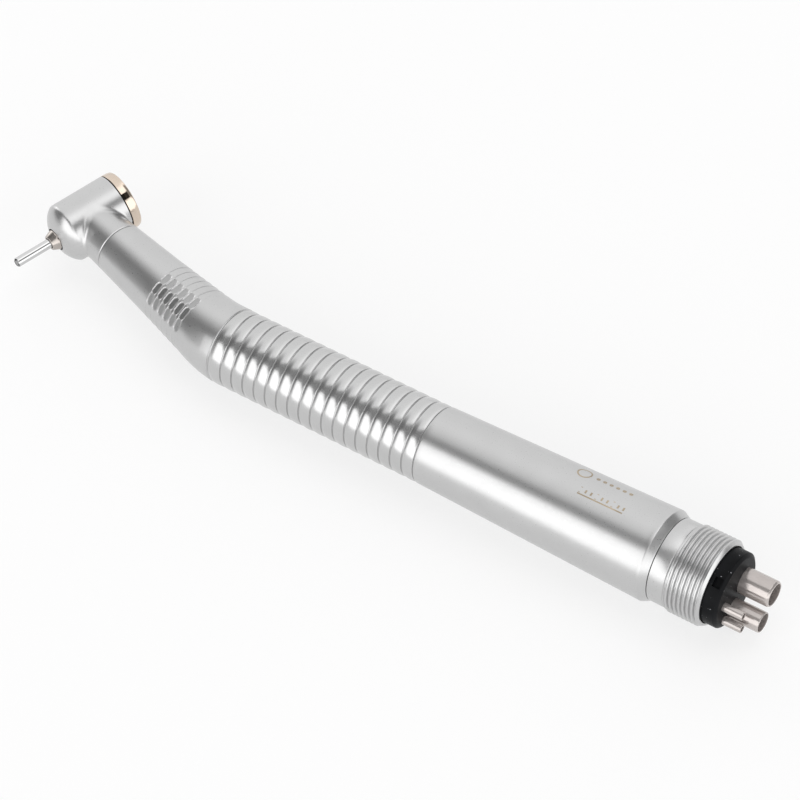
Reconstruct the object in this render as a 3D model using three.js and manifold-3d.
// High speed dental handpiece: an air-turbine head with a push-button chuck on a bent, tapered
// handle that ends in a threaded four-tube hose coupling. Millimetres, +Z up.
// The origin is the middle of the coupling face. +X runs back along the handle towards the hose,
// the bend lies in the XY plane, and the push button looks towards +Y.
import * as THREE from 'three';
import { mergeVertices } from 'three/addons/utils/BufferGeometryUtils.js';
import Module from 'manifold-3d';

const wasm = await Module();
wasm.setup();

const DEG = Math.PI / 180;

// ---- Handle: stations run along its axis from the bend (0) to the hose end, forward is negative ----
const BEND_TO_FACE = 93.5;
const BEND_ANGLE = 15.66 * DEG;
const BEND_RADIUS = 24;
const HEAD_TO_BEND = 34.34;
const SEAM_FROM_HEAD = 8.2;
const SEAM_GAP = 0.1;
const SHELL_FRONT = SEAM_FROM_HEAD + SEAM_GAP - HEAD_TO_BEND;
const SHELL_REAR = 81.9;
const SEAM_R = 4.43;
const SPIGOT_R = 3.75;
const SPIGOT_LENGTH = 3;
const GRIP = { front: 1.7, rear: 39.9, frontR: 6.37, rearR: 6.44 };
const BARREL_R = 7.58;
const BEVEL_FRONT = 80.6;
const NECK_GROOVES = { count: 6, first: 21.9, pitch: 1.45, depth: 0.15, halfWidth: 0.4 };

// The shell's bore: the socket for the coupling, under the grip, at the bend and in the neck.
const SHELL_BORE = { socket: 6.2, grip: 5.5, gripFront: 5.3, neckRear: 4.9, neckFront: 4.2, step: 3.5 };

// ---- Hose coupling ----
const COLLAR_R = 6.83;
const THREAD = { front: 84.9, crests: 7, pitch: 0.75, crestR: 7.15, rootR: 6.8 };
const COUPLING_REAR = 91.05;
const COUPLING_SPIGOT_FRONT = 74;
const COUPLING_SPIGOT_R = 6.1;
const COUPLING_BORE_R = 5.4;
const O_RING = { r: 5.96, section: 0.17, station: 77.4, grooveDepth: 0.36, halfWidth: 0.3 };
const BULKHEAD = { front: 86.3, rear: 88.3 };
const INSERT_R = 6.2;
const INSERT_POCKET_R = 6.35;
const INSERT_FRONT = 88.6;
const INSERT_CHAMFER = { radial: 0.55, length: 0.4 };
const INSERT_NOTCH = { turn: 30 * DEG, front: 91.6, rear: 92.95, width: 1.6, depth: 0.6 };
const TUBE_FIT = 0.06;

// Each tube of the hose coupling: centre (y, z), radii, front and rear stations, end chamfer. Its bore
// narrows to the seat over the front end, where an inner line plugs in.
const TUBES = {
  exhaust_tube: {
    y: 2.4, z: 0, outer: 2.15, bore: 1.78, seat: 1.7, front: 85.6, rear: 98.7, chamfer: 0.3,
  },
  drive_air_tube: {
    y: -1.05, z: -3, outer: 1.7, bore: 1.5, seat: 1.26, front: 82, rear: 98.7, chamfer: 0.12,
  },
  water_tube: {
    y: -3.5, z: 0.5, outer: 0.72, bore: 0.52, seat: 0.5, front: 83, rear: 96.9, chamfer: 0.08,
  },
  chip_air_tube: {
    y: -3.7, z: -2.75, outer: 0.72, bore: 0.52, seat: 0.5, front: 83, rear: 96.7, chamfer: 0.08,
  },
};
const TUBE_SEAT_LENGTH = 4;

// Each inner line: the tube it plugs into, radii, where it ends ahead of the bend, and where it lies
// in the neck (across the bend plane, up).
const LINES = {
  drive_air_line: {
    tube: 'drive_air_tube', outer: 1.18, bore: 0.9, sides: 8, tip: 29.3, across: 0, up: -1.2,
  },
  water_line: {
    tube: 'water_tube', outer: 0.44, bore: 0.25, sides: 5, tip: 28.7, across: -1.3, up: 1.1,
  },
  chip_air_line: {
    tube: 'chip_air_tube', outer: 0.44, bore: 0.25, sides: 5, tip: 28.2, across: 1.1, up: 1.3,
  },
};

// ---- Head: stations run along its own axis from the handle's axis, + towards the button ----
const HEAD_YAW = -20.74 * DEG;
const NECK_TILT = 5.08 * DEG;
const HEAD_R = 5;
const DOME_TOP = -3.7;
const DOME_DEPTH = 2.75;
const NOSE_HOLE_R = 1.95;
const HEAD_TOP = 5.35;
const FRONT_SEAT = -5.35;
const WASHER_SEAT = { r: 3.3, top: -5 };
const FRONT_BORE_TOP = -2.5;
const SEAT_R = 3.78;
const TURBINE_BORE_R = 4.3;
const NECK_STUB_R = 4.3;
const NECK_BORE_R = 3;
const SPRAY_PORTS = { count: 3, first: 5.4, pitch: 0.7, r: 0.22 };

// Radii and width of both bearings: bore, the shoulders of the two races, outside, balls and pitch circle.
const BEARING = {
  bore: 1.64, inner: 2.05, outer: 2.72, od: 3.175, width: 2.38, ballR: 0.5, pitchR: 2.38,
};
const BEARING_O_RING = { r: 3.46, section: 0.2 };
const WAVE_WASHER = { inner: 2.3, outer: 3.1, bottom: -5.19, thickness: 0.07, waves: 3, height: 0.07 };
const BALLS = 7;
const CAGE = { inner: 2.17, outer: 2.6, bottom: -0.85, top: 0.3, pocketR: 0.6 };
const BALL_CLEARANCE = 0.05;
const FRONT_BEARING = -3.75;
const REAR_BEARING = 3.15;
const SPINDLE = { r: 1.5875, bore: 1.22, front: -5, rear: 4.6 };
const NOSE = { baseR: 1.75, tipR: 1.25, mouthR: 0.95, rear: -5.1, base: -6.15, tip: -7.5 };
const IMPELLER = { blades: 12, hubR: 2.3, r: 3.9, bottom: -2.1, top: 1.5 };
const COLLET = { outer: 1.14, bore: 0.86, front: -7.2, rear: 3.3, slot: 0.22, slotFront: -3 };
const PIN = { r: 0.8, tip: -13.9, rear: 3.2, chamferR: 0.22, chamferLength: 0.3 };
const PLUNGER = { r: 1.1, front: 3.85, rear: 4.75 };
const CAP = {
  bottom: 5.55, top: 7.2, skirtBottom: 1.95, skirtR: 4.2, seatTop: 4.45, shelfTop: 4.95,
  shelfHoleR: 1.9, pocketR: 3.8, lipR: 3.35, lipBottom: 6.75,
};
const CAP_NOTCH = { angle: -55.6 * DEG, count: 2, width: 1.05, bottom: 5.4, top: 6.6, depth: 1 };
const CAP_SEAL = { inner: 4.35, outer: 4.9, bottom: 5.39, top: 5.51 };
const BUTTON = {
  flangeR: 3.7, faceR: 3.25, bottom: 6.15, flangeTop: 6.7, top: 7.3, bossR: 0.95, bossBottom: 5.05,
};
const BUTTON_SPRING = { r: 2.5, wire: 0.2, turns: 2, bottom: 5.1, top: 6 };

// Facets round a full turn of the handle and head, of the small turned pieces and of the smallest ones.
const ROUND = 32;
const SMALL = 20;
const TINY = 8;
const LINE_STEPS = 18;

const FINISH = {
  satin: { color: 0xc9cacb, roughness: 0.42, metalness: 1 },
  polished: { color: 0xd6d3cf, roughness: 0.14, metalness: 1 },
  gold: { color: 0xd9c2a4, roughness: 0.2, metalness: 1 },
  nickel: { color: 0xcfc4bb, roughness: 0.18, metalness: 1 },
  steel: { color: 0xb9bbbe, roughness: 0.25, metalness: 1 },
  brass: { color: 0xc7a25a, roughness: 0.35, metalness: 1 },
  alloy: { color: 0xb4b7bb, roughness: 0.45, metalness: 1 },
  black: { color: 0x1b1c1e, roughness: 0.5, metalness: 0 },
  rubber: { color: 0x141414, roughness: 0.8, metalness: 0 },
  cage: { color: 0x6b4a2c, roughness: 0.6, metalness: 0 },
};

const v2 = (r, along) => new THREE.Vector2(r, along);

// A solid turned about Z from (radius, station) points. The outline runs anticlockwise: up the outside
// and down the bore. It starts and ends on the axis, or it is closed here.
function turned(points, facets) {
  const outline = points.map(([r, along]) => v2(r, along));
  const [start] = outline;
  if (start.x > 0) outline.push(start.clone());
  return new THREE.LatheGeometry(outline, facets).rotateX(Math.PI / 2);
}

// The same solid lying along X, its stations measured from the bend.
const turnedAlongHandle = (points, facets) => turned(points, facets).rotateY(Math.PI / 2);

function ringPoints(inner, outer, bottom, top) {
  return [[inner, bottom], [outer, bottom], [outer, top], [inner, top]];
}

const disc = (r, bottom, top, facets) => turned([[0, bottom], [r, bottom], [r, top], [0, top]], facets);

// An O-ring about Z.
const oRing = (ringR, sectionR, facets) => new THREE.TorusGeometry(ringR, sectionR, 6, facets);

function toManifold(geometry) {
  const bare = geometry.clone();
  bare.deleteAttribute('normal');
  bare.deleteAttribute('uv');
  const merged = mergeVertices(bare, 1e-4);
  return new wasm.Manifold(new wasm.Mesh({
    numProp: 3,
    vertProperties: new Float32Array(merged.attributes.position.array),
    triVerts: new Uint32Array(merged.index.array),
  }));
}

function fromManifold(solid) {
  const { vertProperties, triVerts } = solid.getMesh();
  const geometry = new THREE.BufferGeometry();
  geometry.setAttribute('position', new THREE.BufferAttribute(vertProperties, 3));
  geometry.setIndex(new THREE.BufferAttribute(triVerts, 1));
  geometry.computeVertexNormals();
  return geometry;
}

function cut(geometry, tools) {
  const solid = tools.reduce((rest, tool) => rest.subtract(toManifold(tool)), toManifold(geometry));
  return fromManifold(solid);
}

function join(geometries) {
  const [first, ...others] = geometries.map(toManifold);
  return fromManifold(others.reduce((whole, part) => whole.add(part), first));
}

// The place of a point of the bent handle: its station, its offset across the bend plane towards the
// button's side, and its height.
function bent(station, across, up) {
  const tangent = BEND_RADIUS * Math.tan(BEND_ANGLE / 2);
  const share = THREE.MathUtils.clamp((tangent - station) / (2 * tangent), 0, 1);
  const angle = share * BEND_ANGLE;
  const beyond = Math.max(0, -tangent - station);
  const straight = Math.max(tangent, station);
  const x = straight - BEND_RADIUS * Math.sin(angle) - beyond * Math.cos(angle);
  const y = BEND_RADIUS * (1 - Math.cos(angle)) + beyond * Math.sin(angle);
  return new THREE.Vector3(x + across * Math.sin(angle), y + across * Math.cos(angle), up);
}

function bend(geometry) {
  const { position } = geometry.attributes;
  for (let i = 0; i < position.count; i += 1) {
    const place = bent(position.getX(i), position.getY(i), position.getZ(i));
    position.setXYZ(i, place.x, place.y, place.z);
  }
  geometry.computeVertexNormals();
  return geometry;
}

function polygon(path, radius, sides) {
  for (let i = 0; i < sides; i += 1) {
    const turn = (i / sides) * 2 * Math.PI;
    const corner = [radius * Math.cos(turn), radius * Math.sin(turn)];
    if (i === 0) path.moveTo(...corner);
    else path.lineTo(...corner);
  }
  path.closePath();
  return path;
}

function ringShape(outer, bore, sides) {
  const shape = polygon(new THREE.Shape(), outer, sides);
  shape.holes.push(polygon(new THREE.Path(), bore, sides));
  return shape;
}

function mesh(name, geometry, finish) {
  const part = new THREE.Mesh(geometry, new THREE.MeshStandardMaterial(FINISH[finish]));
  part.name = name;
  return part;
}

// ---- Handle ----
function neckRadius(fromHead) {
  const share = (fromHead - SEAM_FROM_HEAD) / (HEAD_TO_BEND - SEAM_FROM_HEAD);
  return THREE.MathUtils.lerp(SEAM_R, 6.2, share);
}

function neckGroovePoints() {
  const points = [];
  const { count, first, pitch, depth, halfWidth } = NECK_GROOVES;
  for (let i = 0; i < count; i += 1) {
    const fromHead = first + i * pitch;
    const station = fromHead - HEAD_TO_BEND;
    points.push([neckRadius(fromHead), station - halfWidth]);
    points.push([neckRadius(fromHead) - depth, station]);
    points.push([neckRadius(fromHead), station + halfWidth]);
  }
  return points;
}

// The bore narrows in even steps through the bend, where the shell's rings fan out.
function boreThroughBend() {
  const bendEnd = BEND_RADIUS * Math.tan(BEND_ANGLE / 2);
  return [1, 1 / 3, -1 / 3, -1].map((share) => [
    THREE.MathUtils.lerp(SHELL_BORE.neckRear, SHELL_BORE.gripFront, (share + 1) / 2),
    share * bendEnd,
  ]);
}

function handleShell() {
  const spigotEnd = SHELL_FRONT + SPIGOT_LENGTH + 0.4;
  const outside = [
    [SEAM_R - 0.1, SHELL_FRONT],
    [SEAM_R, SHELL_FRONT + 0.1],
    ...neckGroovePoints(),
    [6.0, -3.3],
    [6.13, -1.6],
    [6.26, 0],
    [GRIP.frontR, GRIP.front],
    [6.38, 3.3],
    [GRIP.rearR, GRIP.rear],
    [BARREL_R - 0.06, BEVEL_FRONT - 0.3],
    [BARREL_R - 0.05, BEVEL_FRONT],
    [COLLAR_R + 0.02, SHELL_REAR],
  ];
  const inside = [
    [SHELL_BORE.socket, SHELL_REAR],
    [SHELL_BORE.socket, COUPLING_SPIGOT_FRONT - 1],
    [SHELL_BORE.grip, GRIP.rear],
    ...boreThroughBend(),
    [SHELL_BORE.neckFront, spigotEnd + 4],
    [SHELL_BORE.step, spigotEnd],
    [SPIGOT_R + 0.1, spigotEnd],
    [SPIGOT_R + 0.1, SHELL_FRONT],
  ];
  return bend(turnedAlongHandle([...outside, ...inside], ROUND));
}

function threadPoints() {
  const { front, crests, pitch, crestR, rootR } = THREAD;
  const points = [];
  for (let i = 0; i < crests; i += 1) {
    const start = front + i * pitch;
    points.push([rootR, start], [crestR, start + pitch / 2]);
  }
  return points;
}

function tubeHoles(bottom, top, clearance) {
  return Object.values(TUBES).map(({ y, z, outer }) => (
    turnedAlongHandle(
      [[0, bottom], [outer + clearance, bottom], [outer + clearance, top], [0, top]], SMALL,
    ).translate(0, y, z)));
}

function rearCoupling() {
  const body = turnedAlongHandle([
    [0, BULKHEAD.front],
    [COUPLING_BORE_R, BULKHEAD.front],
    [COUPLING_BORE_R, COUPLING_SPIGOT_FRONT],
    [COUPLING_SPIGOT_R, COUPLING_SPIGOT_FRONT],
    [COUPLING_SPIGOT_R, O_RING.station - O_RING.halfWidth],
    [COUPLING_SPIGOT_R - O_RING.grooveDepth, O_RING.station - O_RING.halfWidth],
    [COUPLING_SPIGOT_R - O_RING.grooveDepth, O_RING.station + O_RING.halfWidth],
    [COUPLING_SPIGOT_R, O_RING.station + O_RING.halfWidth],
    [COUPLING_SPIGOT_R, SHELL_REAR + 0.1],
    [COLLAR_R, SHELL_REAR + 0.1],
    [COLLAR_R, THREAD.front - 0.2],
    ...threadPoints(),
    [THREAD.crestR, COUPLING_REAR - 0.8],
    [THREAD.rootR - 0.05, COUPLING_REAR],
    [INSERT_POCKET_R, COUPLING_REAR],
    [INSERT_POCKET_R, BULKHEAD.rear],
    [0, BULKHEAD.rear],
  ], ROUND);
  return cut(body, tubeHoles(BULKHEAD.front - 1, BULKHEAD.rear + 1, 0.1));
}

function couplingORing() {
  const { r, section, station } = O_RING;
  return oRing(r, section, ROUND).rotateY(Math.PI / 2).translate(station, 0, 0);
}

// The black insert: a disc with a broad chamfer round its face, a blind notch in its side and a hole
// for each tube.
function connectorInsert() {
  const { radial, length } = INSERT_CHAMFER;
  const body = turnedAlongHandle([
    [0, INSERT_FRONT],
    [INSERT_R, INSERT_FRONT],
    [INSERT_R, BEND_TO_FACE - length],
    [INSERT_R - radial, BEND_TO_FACE],
    [0, BEND_TO_FACE],
  ], ROUND);
  const { turn, front, rear, width, depth } = INSERT_NOTCH;
  const notch = new THREE.BoxGeometry(rear - front, width, 2 * depth);
  notch.translate((front + rear) / 2, 0, INSERT_R).rotateX(turn);
  return cut(body, [notch, ...tubeHoles(INSERT_FRONT - 1, BEND_TO_FACE + 1, TUBE_FIT)]);
}

function couplingTube({ y, z, outer, bore, seat, front, rear, chamfer }) {
  return turnedAlongHandle([
    [seat, front],
    [outer, front],
    [outer, rear - chamfer],
    [outer - chamfer * 0.6, rear],
    [bore, rear],
    [bore, front + TUBE_SEAT_LENGTH],
    [seat, front + TUBE_SEAT_LENGTH],
  ], SMALL).translate(0, y, z);
}

// A line from inside its coupling tube, through the handle and round the bend, into the head's neck.
function innerLine({ tube, outer, bore, sides, tip, across, up }) {
  const { y, z, front } = TUBES[tube];
  const path = new THREE.CatmullRomCurve3([
    bent(front + 2, y, z),
    bent(front - 0.5, y, z),
    bent(front - 3, y, z),
    bent(60, THREE.MathUtils.lerp(y, across, 0.7), THREE.MathUtils.lerp(z, up, 0.7)),
    bent(35, across, up),
    bent(10, across, up),
    bent(0, across, up),
    bent(-10, across, up),
    bent(-tip, across, up),
  ], false, 'centripetal');
  return new THREE.ExtrudeGeometry(ringShape(outer, bore, sides), {
    extrudePath: path, steps: LINE_STEPS, bevelEnabled: false,
  });
}

// ---- Head, built about Z with the button up and the handle towards +X ----
function domeRadius(along) {
  const share = (along - DOME_TOP) / DOME_DEPTH;
  return HEAD_R * Math.sqrt(1 - share * share);
}

function domePoints() {
  const points = [];
  const end = Math.asin(Math.sqrt(1 - (NOSE_HOLE_R / HEAD_R) ** 2));
  const steps = 6;
  for (let i = steps; i >= 0; i -= 1) {
    const along = DOME_TOP - DOME_DEPTH * Math.sin((end * i) / steps);
    points.push([domeRadius(along), along]);
  }
  return points;
}

// Lies along the neck from the head's axis: stations become distances from that axis.
function alongNeck(geometry) {
  return geometry.rotateY(Math.PI / 2 - NECK_TILT);
}

function sprayPort(index) {
  const { first, pitch, r } = SPRAY_PORTS;
  const port = disc(r, -6, 0, TINY).translate(first + index * pitch, 0, 0);
  return port.rotateY(-NECK_TILT);
}

function headHousing() {
  const dome = domePoints();
  const barrel = turned([[0, dome[0][1]], ...dome, [HEAD_R, HEAD_TOP], [0, HEAD_TOP]], ROUND);
  const neckEnd = SEAM_FROM_HEAD;
  const neck = alongNeck(turned([
    [0, 0.5],
    [NECK_STUB_R, 0.5],
    [NECK_STUB_R, 6],
    [SEAM_R, neckEnd - 0.08],
    [SEAM_R - 0.08, neckEnd],
    [SPIGOT_R, neckEnd],
    [SPIGOT_R, neckEnd + SPIGOT_LENGTH],
    [0, neckEnd + SPIGOT_LENGTH],
  ], ROUND));
  const cavity = turned([
    [0, -8],
    [NOSE_HOLE_R, -8],
    [NOSE_HOLE_R, FRONT_SEAT],
    [WASHER_SEAT.r, FRONT_SEAT],
    [WASHER_SEAT.r, WASHER_SEAT.top],
    [SEAT_R, WASHER_SEAT.top],
    [SEAT_R, FRONT_BORE_TOP],
    [TURBINE_BORE_R, FRONT_BORE_TOP],
    [TURBINE_BORE_R, HEAD_TOP + 1],
    [0, HEAD_TOP + 1],
  ], ROUND);
  const neckBore = alongNeck(disc(NECK_BORE_R, 2.5, neckEnd + SPIGOT_LENGTH + 1, SMALL));
  const ports = Array.from({ length: SPRAY_PORTS.count }, (_, i) => sprayPort(i));
  return cut(join([barrel, neck]), [cavity, neckBore, ...ports]);
}

function headCap() {
  const body = turned([
    [SEAT_R, CAP.skirtBottom],
    [CAP.skirtR, CAP.skirtBottom],
    [CAP.skirtR, CAP.bottom],
    [HEAD_R - 0.05, CAP.bottom],
    [HEAD_R, CAP.bottom + 0.1],
    [HEAD_R - 0.03, CAP.top - 0.6],
    [HEAD_R - 0.12, CAP.top - 0.2],
    [HEAD_R - 0.35, CAP.top],
    [CAP.lipR, CAP.top],
    [CAP.lipR, CAP.lipBottom],
    [CAP.pocketR, CAP.lipBottom],
    [CAP.pocketR, CAP.shelfTop],
    [CAP.shelfHoleR, CAP.shelfTop],
    [CAP.shelfHoleR, CAP.seatTop],
    [SEAT_R, CAP.seatTop],
  ], ROUND);
  const { angle, count, width, bottom, top, depth } = CAP_NOTCH;
  const notches = Array.from({ length: count }, (_, i) => (
    new THREE.BoxGeometry(2 * depth, width, top - bottom)
      .translate(HEAD_R, 0, (top + bottom) / 2)
      .rotateZ(angle + (i * 2 * Math.PI) / count)));
  return cut(body, notches);
}

function capSeal() {
  const { inner, outer, bottom, top } = CAP_SEAL;
  return turned(ringPoints(inner, outer, bottom, top), ROUND);
}

function pushButton() {
  return turned([
    [0, BUTTON.bossBottom],
    [BUTTON.bossR, BUTTON.bossBottom],
    [BUTTON.bossR, BUTTON.bottom],
    [BUTTON.flangeR, BUTTON.bottom],
    [BUTTON.flangeR, BUTTON.flangeTop],
    [BUTTON.faceR, BUTTON.flangeTop],
    [BUTTON.faceR, BUTTON.top - 0.25],
    [BUTTON.faceR - 0.3, BUTTON.top],
    [0, BUTTON.top - 0.15],
  ], ROUND);
}

class Helix extends THREE.Curve {
  getPoint(share) {
    const { r, turns, bottom, top } = BUTTON_SPRING;
    const turn = share * turns * 2 * Math.PI;
    const along = THREE.MathUtils.lerp(bottom, top, share);
    return new THREE.Vector3(r * Math.cos(turn), r * Math.sin(turn), along);
  }
}

function buttonSpring() {
  const { wire, turns } = BUTTON_SPRING;
  const section = polygon(new THREE.Shape(), wire / 2, 5);
  return new THREE.ExtrudeGeometry(section, {
    extrudePath: new Helix(), steps: turns * 12, bevelEnabled: false,
  });
}

// Radius of a race at a distance from the middle of its bearing: side -1 is the inner race.
function groovePoints(side) {
  const grooveR = BEARING.ballR + BALL_CLEARANCE;
  const shoulder = side < 0 ? BEARING.inner : BEARING.outer;
  const half = Math.sqrt(grooveR ** 2 - (shoulder - BEARING.pitchR) ** 2);
  const reach = Math.atan2(half, Math.abs(shoulder - BEARING.pitchR));
  const steps = 3;
  return Array.from({ length: steps + 1 }, (_, i) => {
    const turn = THREE.MathUtils.lerp(-reach, reach, i / steps);
    return [BEARING.pitchR + side * grooveR * Math.cos(turn), grooveR * Math.sin(turn)];
  });
}

function innerRace() {
  const half = BEARING.width / 2;
  return turned([
    [BEARING.bore, -half],
    [BEARING.inner, -half],
    ...groovePoints(-1),
    [BEARING.inner, half],
    [BEARING.bore, half],
  ], SMALL);
}

function outerRace() {
  const half = BEARING.width / 2;
  return turned([
    [BEARING.outer, -half],
    [BEARING.od, -half],
    [BEARING.od, half],
    [BEARING.outer, half],
    ...groovePoints(1).reverse(),
  ], SMALL);
}

// A crown cage: a ring whose ball pockets open towards one end.
function ballCage() {
  const ring = turned(ringPoints(CAGE.inner, CAGE.outer, CAGE.bottom, CAGE.top), 2 * BALLS);
  const pockets = Array.from({ length: BALLS }, (_, i) => (
    new THREE.CylinderGeometry(CAGE.pocketR, CAGE.pocketR, 2, TINY)
      .translate(0, BEARING.pitchR, 0)
      .rotateZ((i * 2 * Math.PI) / BALLS)));
  return cut(ring, pockets);
}

function ball(index) {
  const turn = Math.PI / 2 + (index * 2 * Math.PI) / BALLS;
  return new THREE.SphereGeometry(BEARING.ballR, TINY, 5)
    .translate(BEARING.pitchR * Math.cos(turn), BEARING.pitchR * Math.sin(turn), 0);
}

function waveWasher() {
  const { inner, outer, bottom, thickness, waves, height } = WAVE_WASHER;
  const washer = turned(ringPoints(inner, outer, bottom, bottom + thickness), SMALL);
  const { position } = washer.attributes;
  for (let i = 0; i < position.count; i += 1) {
    const turn = Math.atan2(position.getY(i), position.getX(i));
    position.setZ(i, position.getZ(i) + height * Math.cos(waves * turn));
  }
  return washer;
}

function spindle() {
  return turned([
    [NOSE.mouthR, NOSE.tip],
    [NOSE.tipR, NOSE.tip],
    [NOSE.baseR, NOSE.base],
    [NOSE.baseR, NOSE.rear],
    [SPINDLE.r, SPINDLE.front],
    [SPINDLE.r, SPINDLE.rear],
    [SPINDLE.bore, SPINDLE.rear],
    [SPINDLE.bore, COLLET.front - 0.06],
    [NOSE.mouthR, COLLET.front - 0.06],
  ], SMALL);
}

// The turbine wheel: curved buckets on a hub, cut straight through along its axis.
function impeller() {
  const { blades, hubR, r, bottom, top } = IMPELLER;
  const outline = new THREE.Shape();
  const bladeArc = (2 * Math.PI) / blades;
  const polar = (radius, turn) => [radius * Math.cos(turn), radius * Math.sin(turn)];
  outline.moveTo(...polar(hubR, 0));
  for (let i = 0; i < blades; i += 1) {
    const start = i * bladeArc;
    outline.lineTo(...polar(r, start + 0.28 * bladeArc));
    outline.lineTo(...polar(r, start + 0.46 * bladeArc));
    outline.lineTo(...polar((hubR + r) / 2, start + 0.3 * bladeArc));
    outline.lineTo(...polar(hubR + 0.1, start + 0.5 * bladeArc));
    if (i < blades - 1) outline.lineTo(...polar(hubR, start + bladeArc));
  }
  outline.closePath();
  const bore = new THREE.Path();
  bore.absarc(0, 0, BEARING.bore, 0, 2 * Math.PI, true);
  outline.holes.push(bore);
  const depth = top - bottom;
  return new THREE.ExtrudeGeometry(outline, { depth, bevelEnabled: false, curveSegments: 12 })
    .translate(0, 0, bottom);
}

function chuckCollet() {
  const { outer, bore, front, rear, slot, slotFront } = COLLET;
  const sleeve = turned(ringPoints(bore, outer, front, rear), SMALL);
  const slots = [0, 90 * DEG].map((turn) => (
    new THREE.BoxGeometry(4, slot, 10).translate(0, 0, slotFront + 5).rotateZ(turn)));
  return cut(sleeve, slots);
}

function chuckPlunger() {
  const { r, front, rear } = PLUNGER;
  return turned([[0, front], [r - 0.5, front], [r, front + 0.5], [r, rear], [0, rear]], SMALL);
}

function testPin() {
  const { r, tip, rear, chamferR, chamferLength } = PIN;
  return turned([
    [0, tip],
    [r - chamferR, tip],
    [r, tip + chamferLength],
    [r, rear - 0.2],
    [r - 0.15, rear],
    [0, rear],
  ], SMALL);
}

function bearing(prefix, along) {
  const group = new THREE.Group();
  group.position.z = along;
  group.add(mesh(`${prefix}_bearing_inner_race`, innerRace(), 'steel'));
  group.add(mesh(`${prefix}_bearing_outer_race`, outerRace(), 'steel'));
  group.add(mesh(`${prefix}_bearing_cage`, ballCage(), 'cage'));
  const { r, section } = BEARING_O_RING;
  group.add(mesh(`${prefix}_bearing_o_ring`, oRing(r, section, SMALL), 'rubber'));
  for (let i = 0; i < BALLS; i += 1) {
    group.add(mesh(`${prefix}_bearing_ball_${i + 1}`, ball(i), 'polished'));
  }
  return group;
}

function headGroup() {
  const head = new THREE.Group();
  head.add(mesh('head_housing', headHousing(), 'satin'));
  head.add(mesh('head_cap', headCap(), 'gold'));
  head.add(mesh('cap_seal', capSeal(), 'rubber'));
  head.add(mesh('push_button', pushButton(), 'polished'));
  head.add(mesh('button_spring', buttonSpring(), 'steel'));
  head.add(bearing('front', FRONT_BEARING));
  head.add(bearing('rear', REAR_BEARING));
  head.add(mesh('wave_washer', waveWasher(), 'steel'));
  head.add(mesh('turbine_spindle', spindle(), 'nickel'));
  head.add(mesh('turbine_impeller', impeller(), 'alloy'));
  head.add(mesh('chuck_collet', chuckCollet(), 'steel'));
  head.add(mesh('chuck_plunger', chuckPlunger(), 'steel'));
  head.add(mesh('test_pin', testPin(), 'polished'));
  head.position.copy(bent(-HEAD_TO_BEND, 0, 0));
  head.rotation.set(-Math.PI / 2, 0, HEAD_YAW, 'ZYX');
  return head;
}

function handleGroup() {
  const handle = new THREE.Group();
  handle.add(mesh('handle_shell', handleShell(), 'satin'));
  handle.add(mesh('rear_coupling', rearCoupling(), 'satin'));
  handle.add(mesh('connector_insert', connectorInsert(), 'black'));
  handle.add(mesh('coupling_o_ring', couplingORing(), 'rubber'));
  for (const [name, size] of Object.entries(TUBES)) {
    handle.add(mesh(name, couplingTube(size), 'nickel'));
  }
  for (const [name, size] of Object.entries(LINES)) {
    handle.add(mesh(name, innerLine(size), 'brass'));
  }
  return handle;
}

const handpiece = new THREE.Group();
handpiece.add(handleGroup(), headGroup());
handpiece.position.x = -BEND_TO_FACE;

export default handpiece;
